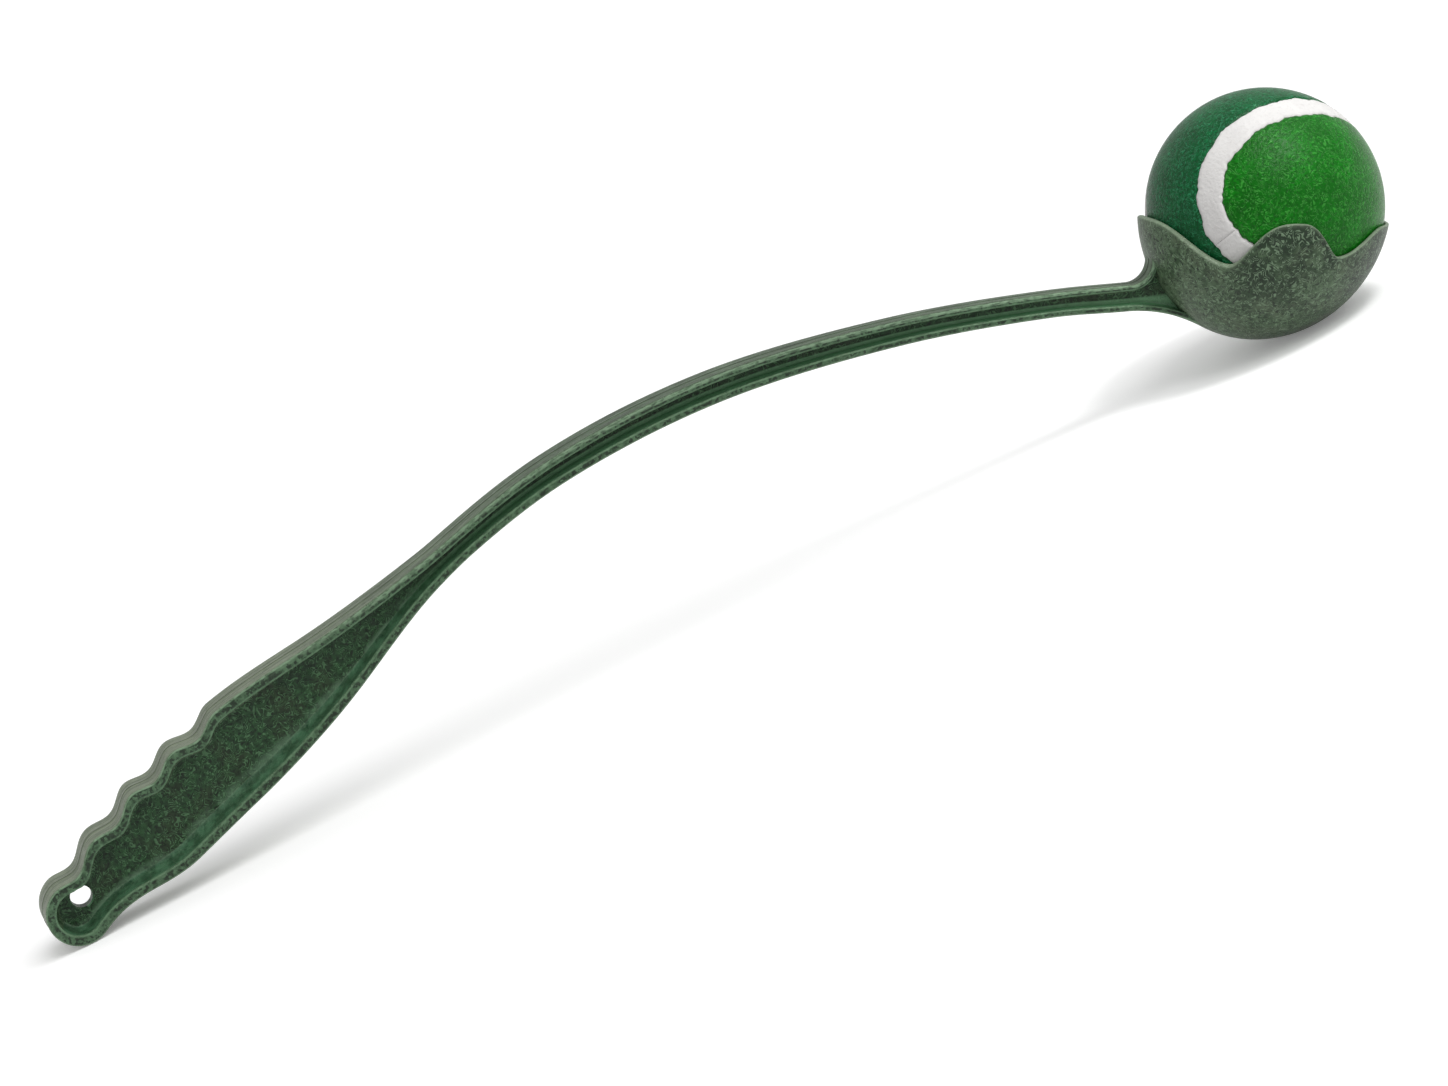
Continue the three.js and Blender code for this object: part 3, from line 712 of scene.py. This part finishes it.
def beside_seam(turn, aside):
    """The direction of a point that lies a length aside of the seam."""
    point, across = seam_frame(turn)
    angle = aside / ball_radius
    return point * math.cos(angle) + across * math.sin(angle)


def wander(point, side):
    """How far the scissors strayed from the seam at a point of it: out of the strip where positive."""
    place = point * ball_radius + Vector((0, side, 0))
    return wander_depth * (noise.noise(place / wander_size)
                           + fine_wander_share * noise.noise(place / wander_size * fine_wander_ratio))


def crowded(share):
    """Moves shares of a width towards its two edges, so that a grid is finer there."""
    return share - edge_crowding * math.sin(2 * math.pi * share)


def rolled(from_edge):
    """How far a felt's face falls at a length from its cut edge."""
    return edge_roll * max(0, 1 - from_edge / roll_width) ** 2


def on_ball(direction, depth):
    """The point of the frame that lies under the ball's skin in a direction of the seam's own axes."""
    return ball_centre + ball_turn @ direction * (ball_radius - depth)


def felted(piece, cad_node, finish):
    """Gives a skin its thickness and its felt, and lets it stand for its CAD node."""
    shrink = 1 - (felt_thickness - glue_gap) / ball_radius
    bpy.ops.object.mode_set(mode="EDIT")
    bpy.ops.mesh.select_all(action="SELECT")
    bpy.ops.mesh.extrude_region_move()
    bpy.ops.transform.resize(value=(shrink, shrink, shrink), center_override=ball_centre)
    bpy.ops.mesh.select_all(action="SELECT")
    bpy.ops.mesh.normals_make_consistent(inside=False)
    bpy.ops.object.mode_set(mode="OBJECT")
    bpy.ops.object.shade_smooth_by_angle(angle=felt_smooth_angle)
    bpy.ops.object.select_all(action="DESELECT")
    piece.data.materials.clear()
    piece.data.materials.append(finish.material)
    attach(piece, "ball")
    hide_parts(cad_node)


seam_points = kdtree.KDTree(seam_steps)
for index in range(seam_steps):
    seam_points.insert(seam_frame(2 * math.pi * index / seam_steps)[0], index)
seam_points.balance()


def felt(name, dark, middle, pale, contrast):
    """Pressed felt: matted short fibres, some dark and some pale, over an even ground."""
    finish = Finish(name, 0.3, Specular_IOR_Level=0.15)
    nap = finish.noise(0.0009, detail=4, distortion=0.6)
    colour = finish.tint(finish.step(finish.noise(0.010, detail=5), 0.36, 0.64), dark, middle)
    colour = finish.tint(finish.step(nap, 0.35, 0.70) * 0.5, dark, colour)
    sunk, raised = strands(finish, 0.0021, 34, 0.13), strands(finish, 0.0019, 34, 0.71)
    colour = finish.tint(sunk * contrast, colour, tuple(part * 0.4 for part in dark))
    colour = finish.tint(raised * (0.65 * contrast), colour, pale)
    finish.colour(colour)
    finish.relief(nap + 0.4 * raised - 0.4 * sunk + 0.5 * finish.noise(0.0004, detail=2), 0.00018)
    return finish


def felt_blank(name, side):
    """Rungs over the ball join mirrored points of the blank's edge, from one lobe's end to the other's."""
    first_turn = -math.pi / 4 * side + lobe_end
    mirror = math.pi * (1 if side < 0 else 3)

    def spot(column, row):
        turn = first_turn + (math.pi - 2 * lobe_end) * row / (panel_rows - 1)
        share = crowded(column / (panel_columns - 1))
        edge = side * (strip_width / 2 + cut_gap)
        start, end = beside_seam(turn, edge), beside_seam(mirror / 2 - turn, edge)
        direction = start.slerp(end, share)
        _, index, _ = seam_points.find(direction)
        point, across = seam_frame(2 * math.pi * index / seam_steps)
        from_edge = max(0, point.angle(direction) * ball_radius - abs(edge))
        stray = wander(point, side) * max(0, 1 - from_edge / wander_fade) ** 2
        moved = (direction + across * (side * stray / ball_radius)).normalized()
        return on_ball(moved, rolled(from_edge))

    return shaped_grid(name, panel_columns, panel_rows, spot,
                       lambda column, row: (column / (panel_columns - 1), row / (panel_rows - 1)))


dark_blank = felt_blank("felt_blank_dark", -1)
felted(dark_blank, "felt_panel_dark",
       felt("dark_green_felt", srgb(0, 70, 32), srgb(6, 115, 62), srgb(64, 158, 112), 0.5))
bright_blank = felt_blank("felt_blank_bright", 1)
felted(bright_blank, "felt_panel_bright",
       felt("bright_green_felt", srgb(0, 87, 2), srgb(6, 136, 14), srgb(92, 196, 84), 0.4))


# The strip between the blanks: off-white felt cut as one long band, laid along the whole seam and butted against
# its own end, where a fine crease shows.
strip_rows, strip_columns = 901, 15
strip_join, strip_join_gap, join_crease = math.radians(325), 0.00003, 0.6


def strip_spot(column, row):
    """The rows run once round the seam, from the join to the join."""
    slack = strip_join_gap / ball_radius
    turn = strip_join + slack / 2 + (2 * math.pi - slack) * row / (strip_rows - 1)
    share = crowded(column / (strip_columns - 1))
    point, _ = seam_frame(turn)
    low = beside_seam(turn, -strip_width / 2 - wander(point, -1))
    high = beside_seam(turn, strip_width / 2 + wander(point, 1))
    from_edge = min(share, 1 - share) * strip_width
    from_join = point.angle(seam_frame(strip_join)[0], 0) * ball_radius
    return on_ball(low.slerp(high, share), max(rolled(from_edge), join_crease * rolled(2 * from_join)))


strip = shaped_grid("seam_strip", strip_columns, strip_rows, strip_spot,
                    lambda column, row: (column / (strip_columns - 1), row / (strip_rows - 1)))
strip_felt = Finish("off_white_felt", 0.75, Specular_IOR_Level=0.2)
strip_nap = strip_felt.noise(0.0009, detail=4, distortion=0.4)
strip_colour = strip_felt.tint(strip_felt.noise(0.006, detail=3), srgb(190, 188, 187), srgb(208, 207, 205))
strip_colour = strip_felt.tint(strip_felt.step(strip_nap, 0.52, 0.76) * 0.4, strip_colour, srgb(172, 169, 167))
strip_felt.colour(strip_colour)
strip_felt.relief(strip_nap, 0.0002)
felted(strip, "seam_band", strip_felt)


# The studio: a pale floor that the thrower stands on, a broad lamp overhead at the camera's side, a small one that
# puts the soft highlight on the ball, and an even white surround that fills the shadows.
floor_size, surround_strength = 8, 0.62
floor_grey, seen_grey, seen_lift = (0.78, 0.78, 0.78), (0.97, 0.97, 0.97), (0.17, 0.17, 0.17)
bpy.ops.mesh.primitive_plane_add(size=floor_size, location=(0, 0, 0))
floor = bpy.context.object
floor.name = "studio_floor"
paper = Finish("floor_paper", 0.9, Specular_IOR_Level=0.0)
seen = paper.node("ShaderNodeLightPath", output="Is Camera Ray")
mirrored = paper.node("ShaderNodeLightPath", output="Is Glossy Ray")
paper.colour(paper.tint(seen + mirrored, floor_grey, seen_grey))
paper.feed(paper.shader.inputs["Emission Color"], paper.tint(seen + mirrored, (0, 0, 0), seen_lift))
paper.shader.inputs["Emission Strength"].default_value = 1.0
floor.data.materials.append(paper.material)

world = bpy.data.worlds.new("studio_surround")
bpy.context.scene.world = world
world.use_nodes = True
surround = world.node_tree.nodes["Background"]
surround.inputs["Color"].default_value = (1, 1, 1, 1)
surround.inputs["Strength"].default_value = surround_strength


def lamp(name, kind, power, place, target, **settings):
    """A lamp of a kind and power, turned from its place to a target."""
    light = bpy.data.lights.new(name, kind)
    light.energy = power
    for setting, value in settings.items():
        setattr(light, setting, value)
    lamp_object = bpy.data.objects.new(name, light)
    bpy.context.scene.collection.objects.link(lamp_object)
    lamp_object.location = place
    lamp_object.rotation_euler = (target - place).to_track_quat("-Z", "Y").to_euler()


light_course, ball_lamp_distance = Vector((0.455, -0.426, 0.781)), 0.36
lamp("overhead_lamp", "SUN", 1.45, light_course, Vector(), angle=math.radians(50))
lamp("ball_lamp", "SPOT", 3.7, ball_centre + light_course * ball_lamp_distance, ball_centre,
     spot_size=math.radians(24), spot_blend=0.8, shadow_soft_size=0.06)

# The camera stands where the photograph was taken. Its place and its axes are given in the launcher's plane.
photo_width, focal_pixels, sensor_width = 1448, 6298.5, 36
camera_place = (-0.5141, 0.1490, 1.6322)
view_back = Vector((-0.2247, 0.1477, 1)).normalized()
view_right = (Vector((1, 0, 0)) - view_back * view_back.x).normalized()
view_up = view_back.cross(view_right)
camera_data = bpy.data.cameras.new("photo_camera")
camera_data.sensor_width = sensor_width
camera_data.lens = focal_pixels / photo_width * sensor_width
camera_data.clip_end = 50
camera = bpy.data.objects.new("photo_camera", camera_data)
bpy.context.scene.collection.objects.link(camera)
camera_turn = plane_axes @ Matrix((view_right, view_up, view_back)).transposed()
camera.matrix_world = Matrix.Translation(in_frame(*camera_place)) @ camera_turn.to_4x4()
bpy.context.scene.camera = camera
bpy.context.scene.view_settings.view_transform = "Standard"
